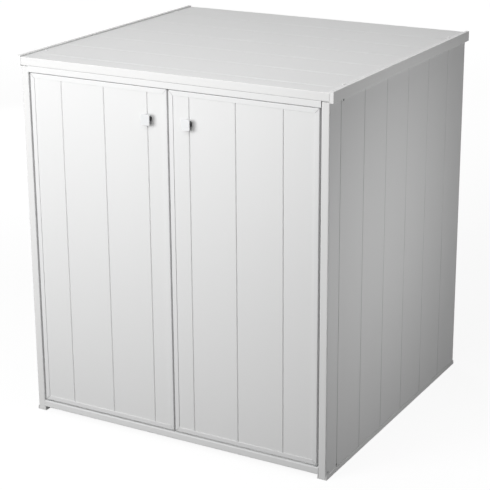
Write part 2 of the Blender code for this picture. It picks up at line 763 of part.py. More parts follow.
def make_door_hardware(name, side, door, boards, frames, finishes):
    """Pivots, knob, knob screw and strike plate of one door, and the holes that they need."""
    ends = (("lower", 0, DOOR_BOTTOM_GAP, HALF_TURN), ("upper", DOOR_HEIGHT, DOOR_TOP_GAP, 0))
    for level, height, door_gap, turn in ends:
        place = (0, 0, height)
        piece_name = f"{name}_door_{level}_pivot"
        solid(piece_name, pivot_shape(door_gap), finishes["nylon"], door, place, (turn, 0, 0), smooth=True)
        hole = PIN_RADIUS + FIT_GAP
        bore = bore_shape(hole, FRAME_WEB + CUT_OVERRUN)
        tool = cutter(piece_name + "_bore", bore, door, place, (turn, 0, 0))
        cut(frames["bottom_frame" if level == "lower" else "top_frame"], tool)

    notches = []
    for low, high in ((-CUT_OVERRUN, FRAME_FACE), (DOOR_HEIGHT - FRAME_FACE, DOOR_HEIGHT + CUT_OVERRUN)):
        corner = [(0, -CUT_OVERRUN), (FRAME_FACE, -CUT_OVERRUN)]
        corner += [(FRAME_FACE, DOOR_THICKNESS + CUT_OVERRUN), (0, DOOR_THICKNESS + CUT_OVERRUN)]
        notches.append(to_door(bar(corner, upright, low, high), side))
    cut(boards[-1], cutter(name + "_door_pivot_notches", joined(notches), door))

    knob_across = DOOR_WIDTH - KNOB_INSET
    knob_up = KNOB_HEIGHT - DOOR_BOTTOM
    forward = (QUARTER_TURN, 0, 0)
    knob_place = door_place(knob_across, KNOB_BACK, knob_up, side)
    solid(name + "_door_knob", knob_shape(), finishes["chrome"], door, knob_place, forward, smooth=True)
    head_seat = BOARD_SETBACK + BOARD_THICKNESS + FIT_GAP
    length = head_seat - KNOB_BACK + KNOB_BORE_DEPTH - KNOB_SCREW_END_CLEARANCE
    screw = screw_shape(KNOB_SCREW_HEAD_RADIUS, KNOB_SCREW_HEAD_THICKNESS, length)
    screw_place = door_place(knob_across, head_seat, knob_up, side)
    backward = (-QUARTER_TURN, 0, 0)
    solid(name + "_door_knob_screw", screw, finishes["steel"], door, screw_place, backward, smooth=True)
    bore = bore_shape(BORE_RADIUS, BOARD_THICKNESS + CUT_OVERRUN)
    tool = cutter(name + "_door_knob_bore", bore, door, screw_place, backward)
    for board in boards[:2]:
        cut(board, tool)

    plate_across = DOOR_WIDTH + DOOR_MIDDLE_GAP / 2 - CATCH_FROM_MIDDLE
    plate_up = DOOR_HEIGHT - FRAME_FACE / 2
    half_width = PLATE_WIDTH / 2
    half_height = PLATE_HEIGHT / 2
    outline = rounded_rectangle(-half_width, -half_height, half_width, half_height, PLATE_CORNER)
    plate = bar(outline, lengthwise, 0, PLATE_THICKNESS)
    plate_place = door_place(plate_across, DOOR_THICKNESS + FIT_GAP, plate_up, side)
    solid(name + "_door_strike_plate", plate, finishes["steel"], door, plate_place)


def make_door(carcass, name, side, finishes):
    """One door, with its frame empty on the pivot axis."""
    door = frame_empty(name + "_door", (side * PIVOT_X, PIVOT_BACK, DOOR_BOTTOM), carcass)
    frames = {}
    for part, shape in door_frame_shapes().items():
        frames[part] = solid(f"{name}_door_{part}", to_door(shape, side), finishes["profile"], door)
    boards = []
    for number, shape in enumerate(door_board_shapes(), start=1):
        boards.append(solid(f"{name}_door_board_{number}", to_door(shape, side), finishes["paint"], door))
    make_door_hardware(name, side, door, boards, frames, finishes)


def make_cabinet():
    """The whole cabinet."""
    clear_scene()
    finishes = {
        "paint": finish("white_paint", (0.80, 0.80, 0.80), 0.38, 0),
        "edging": finish("white_edging", (0.78, 0.78, 0.78), 0.42, 0),
        "profile": finish("white_coated_profile", (0.79, 0.79, 0.79), 0.34, 0),
        "chrome": finish("chrome", (0.82, 0.83, 0.84), 0.08, 1),
        "steel": finish("zinc_steel", (0.55, 0.55, 0.56), 0.35, 1),
        "dark_steel": finish("blackened_steel", (0.10, 0.10, 0.105), 0.4, 1),
        "nylon": finish("grey_nylon", (0.45, 0.46, 0.47), 0.5, 0),
    }
    carcass = frame_empty("carcass", (0, CARCASS_FRONT_Y, 0))
    lid_panel = make_lid(carcass, finishes)
    sides = {
        "left": make_side(carcass, "left", -1, finishes),
        "right": make_side(carcass, "right", 1, finishes),
    }
    rails = make_rails(carcass, finishes)
    make_lid_screws(carcass, finishes, lid_panel, sides)
    make_rail_screws(carcass, finishes, sides, rails)
    make_bushes(carcass, finishes, rails)
    make_catches(carcass, finishes)
    make_door(carcass, "left", -1, finishes)
    make_door(carcass, "right", 1, finishes)


make_cabinet()
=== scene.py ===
"""The looks of a cabinet that stands round a washing machine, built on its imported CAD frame.

Metres, +Z up, with the doors facing -Y. Every piece is modelled where it stands, so its object
coordinates are the cabinet's own at rest, and a pattern in a material has its true scale.
"""

import json
import math

import bmesh
import bpy
from mathutils import Matrix, Vector

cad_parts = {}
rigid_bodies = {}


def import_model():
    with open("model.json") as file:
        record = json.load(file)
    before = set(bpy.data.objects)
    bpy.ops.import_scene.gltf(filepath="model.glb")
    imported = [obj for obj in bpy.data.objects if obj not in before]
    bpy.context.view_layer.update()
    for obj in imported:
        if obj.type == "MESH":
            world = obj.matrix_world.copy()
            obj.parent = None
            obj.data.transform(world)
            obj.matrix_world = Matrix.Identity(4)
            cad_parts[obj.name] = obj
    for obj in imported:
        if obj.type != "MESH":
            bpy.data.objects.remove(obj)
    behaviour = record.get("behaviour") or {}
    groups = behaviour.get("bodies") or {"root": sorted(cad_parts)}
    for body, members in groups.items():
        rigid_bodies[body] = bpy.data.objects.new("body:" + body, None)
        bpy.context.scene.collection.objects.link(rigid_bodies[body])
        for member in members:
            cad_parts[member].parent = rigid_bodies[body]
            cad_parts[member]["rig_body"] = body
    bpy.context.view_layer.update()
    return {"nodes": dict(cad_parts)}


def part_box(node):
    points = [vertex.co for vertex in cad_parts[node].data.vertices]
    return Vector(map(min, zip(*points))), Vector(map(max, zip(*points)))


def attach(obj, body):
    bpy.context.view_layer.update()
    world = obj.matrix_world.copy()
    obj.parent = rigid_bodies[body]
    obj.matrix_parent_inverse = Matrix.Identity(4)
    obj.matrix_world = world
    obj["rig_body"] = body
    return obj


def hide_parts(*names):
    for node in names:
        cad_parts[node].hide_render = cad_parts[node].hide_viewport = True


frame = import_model()
nodes = frame["nodes"]

# Each side, and the sign of its x
SIDES = {"left": -1, "right": 1}
BOTH_WAYS = (-1, 1)
LEFTWARDS = Vector((-1, 0, 0))
RIGHTWARDS = Vector((1, 0, 0))
FORWARDS = Vector((0, -1, 0))
BACKWARDS = Vector((0, 1, 0))
UPWARDS = Vector((0, 0, 1))
DOWNWARDS = Vector((0, 0, -1))
QUARTER_TURN = math.pi / 2

# Cleaning up a CAD mesh, and rounding its corners
WELD_DISTANCE = 0.00001
FLAT_ANGLE = math.radians(0.5)
CORNER_ANGLE = math.radians(35)
SHORTEST_CORNER = 0.008
EASING_STEPS = 3
ROUND_PROFILE = 0.5
SMOOTH_ANGLE = math.radians(40)

# The small step by which touching pieces stand apart, or reach into each other
FIT_GAP = 0.0003

# How far each kind of corner is eased
BOARD_EASING = 0.0004
DOOR_BOARD_EASING = 0.00025
STRIP_EASING = 0.00015
TRIM_EASING = 0.0005
CHANNEL_EASING = 0.0004
SMALL_PART_EASING = 0.0003

# Doors
DOOR_BOARDS = 4

# Screws
SCREW_POINTS = 32
SHANK_RADIUS = 0.002
SHANK_TIP_RADIUS = SHANK_RADIUS / 2
SHANK_TIP_LENGTH = SHANK_RADIUS
LID_HEAD_HEIGHT = 0.0018
SIDE_HEAD_HEIGHT = 0.0015
KNOB_SCREW_HEAD_HEIGHT = 0.0022
SMALL_HEAD_RADIUS = 0.0026
SMALL_HEAD_HEIGHT = 0.0011
SMALL_SCREW_LENGTH = 0.006

# A screw's cross recess, in shares of its head: its reach, width and depth, and its reach at its foot
RECESS_REACH_SHARE = 0.55
RECESS_WIDTH_SHARE = 0.2
RECESS_DEPTH_SHARE = 0.7
RECESS_FOOT_SHARE = 0.45

# A screw head's outline from its seat to its top, in shares of its radius and height
HEAD_PROFILE_SHARES = (
    (1.0, 0.0),
    (1.0, 0.25),
    (0.96, 0.45),
    (0.86, 0.68),
    (0.68, 0.87),
    (0.42, 0.97),
    (0.16, 1.0),
)

# Knobs
KNOB_PLATE = 0.0045
KNOB_CORNER = 0.002
KNOB_EDGE = 0.0007
KNOB_CROWN = 0.00012
CROWN_SHARES = (0.8, 0.55, 0.25)
NECK_WIDTH = 0.020
NECK_TALL = 0.012
NECK_CORNER = 0.003
EDGE_STEPS = 4
CORNER_STEPS = 10

# Catches and strike plates
CATCH_FLANGE = 0.002
CATCH_BODY_SHARE = 0.64
POLE_THICKNESS = 0.0012
POLE_WIDTH = 0.021
POLE_SPACING = 0.0075
POLE_DEPTH = 0.002
POLE_STAND_OUT = FIT_GAP / 2
MAGNET_STAND_OUT = FIT_GAP / 4
PLATE_SCREW_SPACING = 0.018

# Brackets of the rear rails
BRACKET_ARM = 0.026
BRACKET_WIDTH = 0.020
BRACKET_THICKNESS = 0.0018
BRACKET_BEND = 0.0015
BRACKET_SCREW_REACH = 0.017
BEND_STEPS = 5

# Finishes: how much the paints and plastics mirror, the values that soft noise seldom leaves, and how
# fine the noise is. Below, waves are waves of noise per metre, and heights are heights of relief.
SHEEN_LEVEL = 0.3
NOISE_LOW = 0.3
NOISE_HIGH = 0.7
PLAIN_DETAIL = 1.0
FINE_DETAIL = 2.0
FINEST_DETAIL = 3.0

# Paint on the boards, with brush strokes and orange peel
PAINT_COLOUR = (0.80, 0.80, 0.80)
PAINT_SHADES = ((0.795, 0.797, 0.796), (0.812, 0.813, 0.812))
PAINT_ROUGHNESS = 0.38
PAINT_ROUGHNESS_RANGE = (0.35, 0.43)
PAINT_TONE_WAVES = 1.6
STROKE_WAVES_ALONG = 8.0
STROKE_WAVES_ACROSS = 420.0
STROKE_HEIGHT = 0.00002
PEEL_WAVES = 480.0
PEEL_HEIGHT = 0.00003

# White plastic: edging, the lid's trims, and the heads of the lid's screws
EDGING_LIGHTNESS = 0.785
EDGING_ROUGHNESS = 0.42
# The trims are the edging's plastic in a lighter white: painted light for their brighter tops
TRIM_LIT_LIGHTNESS = 0.82
TRIM_ROUGHNESS = 0.22
CAP_LIGHTNESS = 0.92
CAP_ROUGHNESS = 0.25
EDGING_BLUE_LOSS = 0.004
EDGING_SHADE_STEPS = (0.014, 0.014, 0.011)
EDGING_ROUGHNESS_DRIFT = 0.04
EDGING_TONE_WAVES = 3.0
EDGING_GRAIN_WAVES = 900.0
EDGING_GRAIN_HEIGHT = 0.00002

# Powder coat on the door frames
COAT_COLOUR = (0.80, 0.80, 0.80)
COAT_SHADES = ((0.797, 0.799, 0.80), (0.812, 0.813, 0.814))
COAT_ROUGHNESS = 0.34
COAT_ROUGHNESS_RANGE = (0.30, 0.38)
COAT_TONE_WAVES = 2.5
COAT_GRAIN_WAVES = 650.0
COAT_GRAIN_HEIGHT = 0.000015

# Chrome, and plated or blackened steel
CHROME_COLOUR = (0.90, 0.91, 0.92)
CHROME_ROUGHNESS = 0.06
CHROME_ROUGHNESS_RANGE = (0.04, 0.11)
CHROME_HAZE_WAVES = (260.0, 260.0, 900.0)
STEEL_SHADES = ((0.48, 0.48, 0.50), (0.62, 0.62, 0.61))
STEEL_ROUGHNESS = 0.35
DARK_STEEL_SHADES = ((0.08, 0.08, 0.085), (0.12, 0.12, 0.12))
DARK_STEEL_ROUGHNESS = 0.4
STEEL_ROUGHNESS_DRIFT = 0.07
STEEL_BLOTCH_WAVES = 420.0

# Moulded parts, and a near black that is painted shade on the knobs' necks and the magnets' own colour
NYLON_SHADES = ((0.45, 0.46, 0.47), (0.49, 0.50, 0.51))
NYLON_ROUGHNESS = 0.5
SHADOWED_NECK_AND_MAGNET_COLOURS = ((0.035, 0.036, 0.038), (0.05, 0.051, 0.053))
NECK_ROUGHNESS = 0.4
MOULDED_ROUGHNESS_DRIFT = 0.06
MOULDED_TONE_WAVES = 60.0
MOULDED_GRAIN_WAVES = 1500.0
MOULDED_GRAIN_HEIGHT = 0.00002

# Camera, measured from the photograph: seen from the front right, a little above
IMAGE_SIZE = 490
SENSOR_WIDTH = 36.0
CAMERA_PLACE = Vector((1.845, -3.292, 1.687))
CAMERA_YAW = math.radians(29.49)
CAMERA_PITCH = math.radians(17.84)
CAMERA_ROLL = math.radians(-0.38)
CAMERA_REACH = 100.0
FOCAL_PIXELS = 1513
CAMERA_SHIFT = -0.05

# Floor: its size and its own grey, and its glow to what looks at it, near the cabinet and far from it
FLOOR_RADIUS = 18.0
FLOOR_POINTS = 96
FLOOR_DROP = 0.0002
FLOOR_COLOUR = (0.12, 0.12, 0.12)
FLOOR_ROUGHNESS = 0.9
GLOW_NEAR = 1.2
GLOW_FAR = 5.0
GLOW_NEAR_STRENGTH = 0.9
GLOW_FAR_STRENGTH = 1.0

# Light: the level from all round, and soft square lamps (name, place, size, power)
WORLD_LEVEL = 0.07
BACKDROP_LEVEL = 1.0
LAMP_TARGET = Vector((0.0, -0.1, 0.55))
LAMPS = (
    ("key", Vector((-0.96, -2.07, 1.22)), 1.0, 29.2),
    ("fill", Vector((1.10, -0.10, 0.57)), 0.6, 2.3),
    ("front", Vector((0.12, -1.82, 1.60)), 1.2, 14.8),
    ("top", Vector((0.12, -0.22, 2.32)), 1.2, 9.3),
    ("back_fill", Vector((-2.20, 2.20, 1.45)), 1.6, 36.0),
)


def new_surface(name, colour, roughness, metallic=0.0):
    """A material with its Principled shader, and its node tree for patterns."""
    material = bpy.data.materials.new(name)
    material.use_nodes = True
    tree = material.node_tree
    shader = tree.nodes["Principled BSDF"]
    shader.inputs["Base Color"].default_value = (*colour, 1)
    shader.inputs["Roughness"].default_value = roughness
    shader.inputs["Metallic"].default_value = metallic
    if not metallic:
        shader.inputs["Specular IOR Level"].default_value = SHEEN_LEVEL
    material.diffuse_color = (*colour, 1)
    return material, tree, shader


def evenly(waves):
    """The same number of waves along x, y and z."""
    return (waves, waves, waves)


def pattern(tree, waves, detail):
    """Soft noise with this many waves per metre along x, y and z."""
    coordinates = tree.nodes.new("ShaderNodeTexCoord")
    mapping = tree.nodes.new("ShaderNodeMapping")
    mapping.inputs["Scale"].default_value = waves
    noise = tree.nodes.new("ShaderNodeTexNoise")
    noise.inputs["Scale"].default_value = 1.0
    noise.inputs["Detail"].default_value = detail
    tree.links.new(coordinates.outputs["Object"], mapping.inputs["Vector"])
    tree.links.new(mapping.outputs["Vector"], noise.inputs["Vector"])
    return noise.outputs["Fac"]


def spread(tree, value, low, high):
    """Noise stretched to run from low to high."""
    ranged = tree.nodes.new("ShaderNodeMapRange")
    ranged.inputs["From Min"].default_value = NOISE_LOW
    ranged.inputs["From Max"].default_value = NOISE_HIGH
    ranged.inputs["To Min"].default_value = low
    ranged.inputs["To Max"].default_value = high
    tree.links.new(value, ranged.inputs["Value"])
    return ranged.outputs["Result"]


def vary_colour(tree, shader, value, shades):
    """Colour that drifts between two shades."""
    first, second = shades
    mix = tree.nodes.new("ShaderNodeMix")
    mix.data_type = "RGBA"
    mix.inputs["A"].default_value = (*first, 1)
    mix.inputs["B"].default_value = (*second, 1)
    tree.links.new(spread(tree, value, 0, 1), mix.inputs["Factor"])
    tree.links.new(mix.outputs["Result"], shader.inputs["Base Color"])


def vary_roughness(tree, shader, value, low, high):
    """Gloss that drifts between two values."""
    tree.links.new(spread(tree, value, low, high), shader.inputs["Roughness"])


def add_bumps(tree, shader, layers):
    """Relief in the surface: each layer is a pattern and its height in metres."""
    previous = None
    for value, height in layers:
        bump = tree.nodes.new("ShaderNodeBump")
        bump.inputs["Distance"].default_value = height
        tree.links.new(value, bump.inputs["Height"])
        if previous is not None:
            tree.links.new(previous.outputs["Normal"], bump.inputs["Normal"])
        previous = bump
    tree.links.new(previous.outputs["Normal"], shader.inputs["Normal"])


def painted_surface(name, along):
    """Satin white paint on boards, laid on along the boards: faint strokes, and a fine orange peel."""
    material, tree, shader = new_surface(name, PAINT_COLOUR, PAINT_ROUGHNESS)
    tone = pattern(tree, evenly(PAINT_TONE_WAVES), PLAIN_DETAIL)
    stroke_waves = [STROKE_WAVES_ALONG if along == axis else STROKE_WAVES_ACROSS for axis in "xyz"]
    strokes = pattern(tree, stroke_waves, FINE_DETAIL)
    peel = pattern(tree, evenly(PEEL_WAVES), FINE_DETAIL)
    vary_colour(tree, shader, tone, PAINT_SHADES)
    vary_roughness(tree, shader, strokes, *PAINT_ROUGHNESS_RANGE)
    add_bumps(tree, shader, ((strokes, STROKE_HEIGHT), (peel, PEEL_HEIGHT)))
    return material


def edging_surface(name, lightness, roughness):
    """Moulded white plastic with a fine grain."""
    colour = (lightness, lightness, lightness - EDGING_BLUE_LOSS)
    second = tuple(lightness + step for step in EDGING_SHADE_STEPS)
    drift = EDGING_ROUGHNESS_DRIFT
    material, tree, shader = new_surface(name, colour, roughness)
    tone = pattern(tree, evenly(EDGING_TONE_WAVES), PLAIN_DETAIL)
    grain = pattern(tree, evenly(EDGING_GRAIN_WAVES), FINE_DETAIL)
    vary_colour(tree, shader, tone, (colour, second))
    vary_roughness(tree, shader, grain, roughness - drift, roughness + drift)
    add_bumps(tree, shader, ((grain, EDGING_GRAIN_HEIGHT),))
    return material


def coated_surface(name):
    """White powder coat on the door frames."""
    material, tree, shader = new_surface(name, COAT_COLOUR, COAT_ROUGHNESS)
    tone = pattern(tree, evenly(COAT_TONE_WAVES), PLAIN_DETAIL)
    grain = pattern(tree, evenly(COAT_GRAIN_WAVES), FINEST_DETAIL)
    vary_colour(tree, shader, tone, COAT_SHADES)
    vary_roughness(tree, shader, grain, *COAT_ROUGHNESS_RANGE)
    add_bumps(tree, shader, ((grain, COAT_GRAIN_HEIGHT),))
    return material


def chrome_surface(name):
    """Polished chrome with the faintest haze of wiping."""
    material, tree, shader = new_surface(name, CHROME_COLOUR, CHROME_ROUGHNESS, 1.0)
    haze = pattern(tree, CHROME_HAZE_WAVES, FINEST_DETAIL)
    vary_roughness(tree, shader, haze, *CHROME_ROUGHNESS_RANGE)
    return material


def steel_surface(name, shades, roughness):
    """Plated or blackened steel, slightly blotched."""
    drift = STEEL_ROUGHNESS_DRIFT
    material, tree, shader = new_surface(name, shades[0], roughness, 1.0)
    blotches = pattern(tree, evenly(STEEL_BLOTCH_WAVES), FINEST_DETAIL)
    vary_colour(tree, shader, blotches, shades)
    vary_roughness(tree, shader, blotches, roughness - drift, roughness + drift)
    return material


def moulded_surface(name, shades, roughness):
    """A moulded part with a fine spark-eroded grain."""
    drift = MOULDED_ROUGHNESS_DRIFT
    material, tree, shader = new_surface(name, shades[0], roughness)
    grain = pattern(tree, evenly(MOULDED_GRAIN_WAVES), FINE_DETAIL)
    tone = pattern(tree, evenly(MOULDED_TONE_WAVES), PLAIN_DETAIL)
    vary_colour(tree, shader, tone, shades)
    vary_roughness(tree, shader, grain, roughness - drift, roughness + drift)
    add_bumps(tree, shader, ((grain, MOULDED_GRAIN_HEIGHT),))
    return material


def make_finishes():
    """Every finish by name: its material, and the record's slot that it stands for."""
    upright_paint = painted_surface("white_paint_upright", "z")
    cross_paint = painted_surface("white_paint_crosswise", "x")
    edging = edging_surface("white_edging", EDGING_LIGHTNESS, EDGING_ROUGHNESS)
    # The trims get a lighter copy of the edging's white: painted light for their tops.
    trim = edging_surface("white_lid_trim_painted_light", TRIM_LIT_LIGHTNESS, TRIM_ROUGHNESS)
    caps = edging_surface("white_screw_head", CAP_LIGHTNESS, CAP_ROUGHNESS)
    coat = coated_surface("white_profile")
    chrome = chrome_surface("chrome")
    steel = steel_surface("zinc_steel", STEEL_SHADES, STEEL_ROUGHNESS)
    dark_steel = steel_surface("blackened_steel", DARK_STEEL_SHADES, DARK_STEEL_ROUGHNESS)
    nylon = moulded_surface("grey_nylon", NYLON_SHADES, NYLON_ROUGHNESS)
    # Near black: painted shade on the knobs' necks, and the magnets' own dark colour
    neck = moulded_surface("neck_painted_shade_and_magnet", SHADOWED_NECK_AND_MAGNET_COLOURS, NECK_ROUGHNESS)
    return {
        "upright_boards": (upright_paint, "white_paint"),
        "cross_boards": (cross_paint, "white_paint"),
        "edging": (edging, "white_edging"),
        "trim": (trim, "white_edging"),
        "caps": (caps, "white_edging"),
        "profile": (coat, "white_profile"),
        "chrome": (chrome, "chrome"),
        "steel": (steel, "zinc_steel"),
        "dark_steel": (dark_steel, "blackened_steel"),
        "nylon": (nylon, "grey_nylon"),
        "neck": (neck, "grey_nylon"),
    }


def cad_shape(node):
    """A CAD piece's shape, with its points welded and each flat face whole."""
    source = nodes[node].data
    shape = bmesh.new()
    points = [shape.verts.new(vertex.co) for vertex in source.vertices]
    for polygon in source.polygons:
        shape.faces.new([points[index] for index in polygon.vertices])
    bmesh.ops.remove_doubles(shape, verts=shape.verts, dist=WELD_DISTANCE)
    bmesh.ops.dissolve_degenerate(shape, edges=shape.edges, dist=WELD_DISTANCE)
    bmesh.ops.dissolve_limit(shape, angle_limit=FLAT_ANGLE, verts=shape.verts, edges=shape.edges)
    bmesh.ops.recalc_face_normals(shape, faces=shape.faces)
    return shape


def ease(shape, radius):
    """Round the long outer corners of a shape."""
    corners = []
    for edge in shape.edges:
        long_enough = edge.calc_length() > SHORTEST_CORNER
        outer = edge.is_manifold and edge.is_convex
        if long_enough and outer and edge.calc_face_angle() > CORNER_ANGLE:
            corners.append(edge)
    bmesh.ops.bevel(
        shape,
        geom=corners,
        offset=radius,
        offset_type="OFFSET",
        segments=EASING_STEPS,
        profile=ROUND_PROFILE,
        affect="EDGES",
        clamp_overlap=True,
    )
    return shape


def piece_from(name, shape, finish, body, replaced=()):
    """A finished piece: smooth where it is round, riding on its body, and standing for its CAD nodes."""
    material, slot = finish
    mesh = bpy.data.meshes.new(name)
    shape.to_mesh(mesh)
    shape.free()
    mesh.materials.append(material)
    mesh.shade_smooth()
    mesh.set_sharp_from_angle(angle=SMOOTH_ANGLE)
    piece = bpy.data.objects.new(name, mesh)
    bpy.context.scene.collection.objects.link(piece)
    weighting = piece.modifiers.new("flat faces stay flat", "WEIGHTED_NORMAL")
    weighting.keep_sharp = True
    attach(piece, body)
    if replaced:
        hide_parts(*replaced)


def eased_piece(node, radius, finish):
    """A CAD piece with its corners eased, as paint, moulding and handling leave them."""
    shape = ease(cad_shape(node), radius)
    piece_from(node + "_eased", shape, finish, nodes[node]["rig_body"], (node,))


def joined(shapes):
    """Several shapes as one."""
    whole = bmesh.new()
    for shape in shapes:
        mesh = bpy.data.meshes.new("joining")
        shape.to_mesh(mesh)
        shape.free()
        whole.from_mesh(mesh)
        bpy.data.meshes.remove(mesh)
    return whole


def helper_object(name, shape):
    """A throw-away object for a Boolean step."""
    mesh = bpy.data.meshes.new(name)
    shape.to_mesh(mesh)
    shape.free()
    thing = bpy.data.objects.new(name, mesh)
    bpy.context.scene.collection.objects.link(thing)
    return thing


def carved(shape, tool):
    """A shape with a tool's shape taken out of it."""
    work = helper_object("work", shape)
    cutter = helper_object("cutter", tool)
    step = work.modifiers.new("carve", "BOOLEAN")
    step.operation = "DIFFERENCE"
    step.solver = "EXACT"
    step.object = cutter
    graph = bpy.context.evaluated_depsgraph_get()
    result = bmesh.new()
    result.from_mesh(work.evaluated_get(graph).to_mesh())
    for thing in (work, cutter):
        mesh = thing.data
        bpy.data.objects.remove(thing)
        bpy.data.meshes.remove(mesh)
    return result


def circle(radius, height):
    """A level circle of points."""
    turn = 2 * math.pi / SCREW_POINTS
    points = []
    for step in range(SCREW_POINTS):
        points.append((radius * math.cos(turn * step), radius * math.sin(turn * step), height))
    return points


def quarter_angles(steps):
    """Angles from nought to a quarter turn."""
    return [QUARTER_TURN * step / steps for step in range(steps + 1)]


def rounded_ring(half_a, half_b, corner, height):
    """A level rectangle with round corners."""
    points = []
    for quarter, (side_a, side_b) in enumerate(((1, 1), (-1, 1), (-1, -1), (1, -1))):
        centre_a = side_a * (half_a - corner)
        centre_b = side_b * (half_b - corner)
        for step in range(CORNER_STEPS + 1):
            angle = QUARTER_TURN * (quarter + step / CORNER_STEPS)
            point_a = centre_a + corner * math.cos(angle)
            point_b = centre_b + corner * math.sin(angle)
            points.append((point_a, point_b, height))
    return points


def loft(rings):
    """A skin from ring to ring, closed at both ends."""
    shape = bmesh.new()
    layers = [[shape.verts.new(point) for point in ring] for ring in rings]
    for lower, upper in zip(layers, layers[1:]):
        for index, point in enumerate(lower):
            shape.faces.new((lower[index - 1], point, upper[index], upper[index - 1]))
    shape.faces.new(layers[0])
    shape.faces.new(layers[-1])
    bmesh.ops.recalc_face_normals(shape, faces=shape.faces)
    return shape


def box_shape(low, high):
    """A block between two corners."""
    shape = bmesh.new()
    bmesh.ops.create_cube(shape, size=1)
    size = Vector(high) - Vector(low)
    bmesh.ops.scale(shape, verts=shape.verts, vec=size)
    bmesh.ops.translate(shape, verts=shape.verts, vec=Vector(low) + size / 2)
    return shape


def placed(shape, place, outward):
    """A shape built round the z axis, turned so that its +z looks outward, and moved to its place."""
    turn = UPWARDS.rotation_difference(outward).to_matrix().to_4x4()
    bmesh.ops.transform(shape, verts=shape.verts, matrix=Matrix.Translation(place) @ turn)
    return shape


def cross_blades(radius, height):
    """The two tapering blades that press a cross into a screw's head, whose top is at z = 0."""
    reach = radius * RECESS_REACH_SHARE
    half_width = radius * RECESS_WIDTH_SHARE
    depth = height * RECESS_DEPTH_SHARE
    clear_of_head = depth / 2
    blades = []
    for along_x in (True, False):
        rings = []
        for share, level in ((RECESS_FOOT_SHARE, -depth), (1.0, clear_of_head)):
            long_side = reach * share
            half_a, half_b = (long_side, half_width) if along_x else (half_width, long_side)
            corners = ((half_a, half_b), (-half_a, half_b), (-half_a, -half_b), (half_a, -half_b))
            rings.append([(*corner, level) for corner in corners])
        blades.append(loft(rings))
    return blades


def screw_shape(radius, height, length):
    """A domed screw with a cross recess: the top of its head is at z = 0."""
    rings = [
        circle(SHANK_TIP_RADIUS, -height - length),
        circle(SHANK_RADIUS, SHANK_TIP_LENGTH - height - length),
        circle(SHANK_RADIUS, -height),
    ]
    for radius_share, height_share in HEAD_PROFILE_SHARES:
        rings.append(circle(radius * radius_share, height * (height_share - 1)))
    shape = loft(rings)
    for blade in cross_blades(radius, height):
        shape = carved(shape, blade)
    return shape


def make_screw(node, outward, head_height, finish):
    """One screw in the place of its CAD node."""
    low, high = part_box(node)
    size = high - low
    axis = max(range(3), key=lambda index: abs(outward[index]))
    length = size[axis] - head_height
    radius = size[(axis + 1) % 3] / 2
    top = (low + high) / 2
    top[axis] = high[axis] if outward[axis] > 0 else low[axis]
    shape = placed(screw_shape(radius, head_height, length), top, outward)
    piece_from(node + "_head", shape, finish, nodes[node]["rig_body"], (node,))


def make_screws(finishes):
    """Every screw that is a CAD node: in the lid, in the sides and behind the knobs."""
    for side, sign in SIDES.items():
        outward = LEFTWARDS if sign < 0 else RIGHTWARDS
        for end in ("front", "rear"):
            make_screw(f"{side}_{end}_lid_screw", UPWARDS, LID_HEAD_HEIGHT, finishes["caps"])
        for place in ("bottom_rail_front", "bottom_rail_back", "top_rail"):
            make_screw(f"{side}_{place}_screw", outward, SIDE_HEAD_HEIGHT, finishes["dark_steel"])
        knob_screw = side + "_door_knob_screw"
        make_screw(knob_screw, BACKWARDS, KNOB_SCREW_HEAD_HEIGHT, finishes["steel"])


def small_screws(name, places, outward, body, finish):
    """Small screws that hold a fitting: each place is under a head."""
    shapes = []
    for place in places:
        shape = screw_shape(SMALL_HEAD_RADIUS, SMALL_HEAD_HEIGHT, SMALL_SCREW_LENGTH)
        shapes.append(placed(shape, place + outward * SMALL_HEAD_HEIGHT, outward))
    piece_from(name, joined(shapes), finish, body)


def make_lid(finishes):
    """The lid's grooved panel, its edge strips and its raised side trims."""
    eased_piece("lid_panel", BOARD_EASING, finishes["cross_boards"])
    for place in ("front", "rear"):
        eased_piece(f"lid_{place}_edge", STRIP_EASING, finishes["edging"])
    for place in ("left", "right"):
        eased_piece(f"lid_{place}_edge", TRIM_EASING, finishes["trim"])


def make_rails(finishes):
    """The four rails across the front and the rear."""
    for end in ("front", "rear"):
        for level in ("top", "bottom"):
            eased_piece(f"{end}_{level}_rail", STRIP_EASING, finishes["cross_boards"])


def make_side(side, finishes):
    """A side panel, its two posts and the channel that it stands in."""
    eased_piece(side + "_side_panel", BOARD_EASING, finishes["upright_boards"])
    for post in ("_front_post", "_rear_post"):
        eased_piece(side + post, STRIP_EASING, finishes["edging"])
    eased_piece(side + "_bottom_channel", CHANNEL_EASING, finishes["edging"])


def make_door(side, finishes):
    """A door's four frame pieces, and the boards that they hold."""
    for part in ("hinge_stile", "latch_stile", "top_frame", "bottom_frame"):
        eased_piece(f"{side}_door_{part}", STRIP_EASING, finishes["profile"])
    for number in range(1, DOOR_BOARDS + 1):
        eased_piece(f"{side}_door_board_{number}", DOOR_BOARD_EASING, finishes["upright_boards"])


def make_pivots(side, finishes):
    """A door's two pivots, and the bushes in the rails that they turn in."""
    for level in ("lower", "upper"):
        eased_piece(f"{side}_{level}_bush", SMALL_PART_EASING, finishes["nylon"])
        eased_piece(f"{side}_door_{level}_pivot", SMALL_PART_EASING, finishes["nylon"])


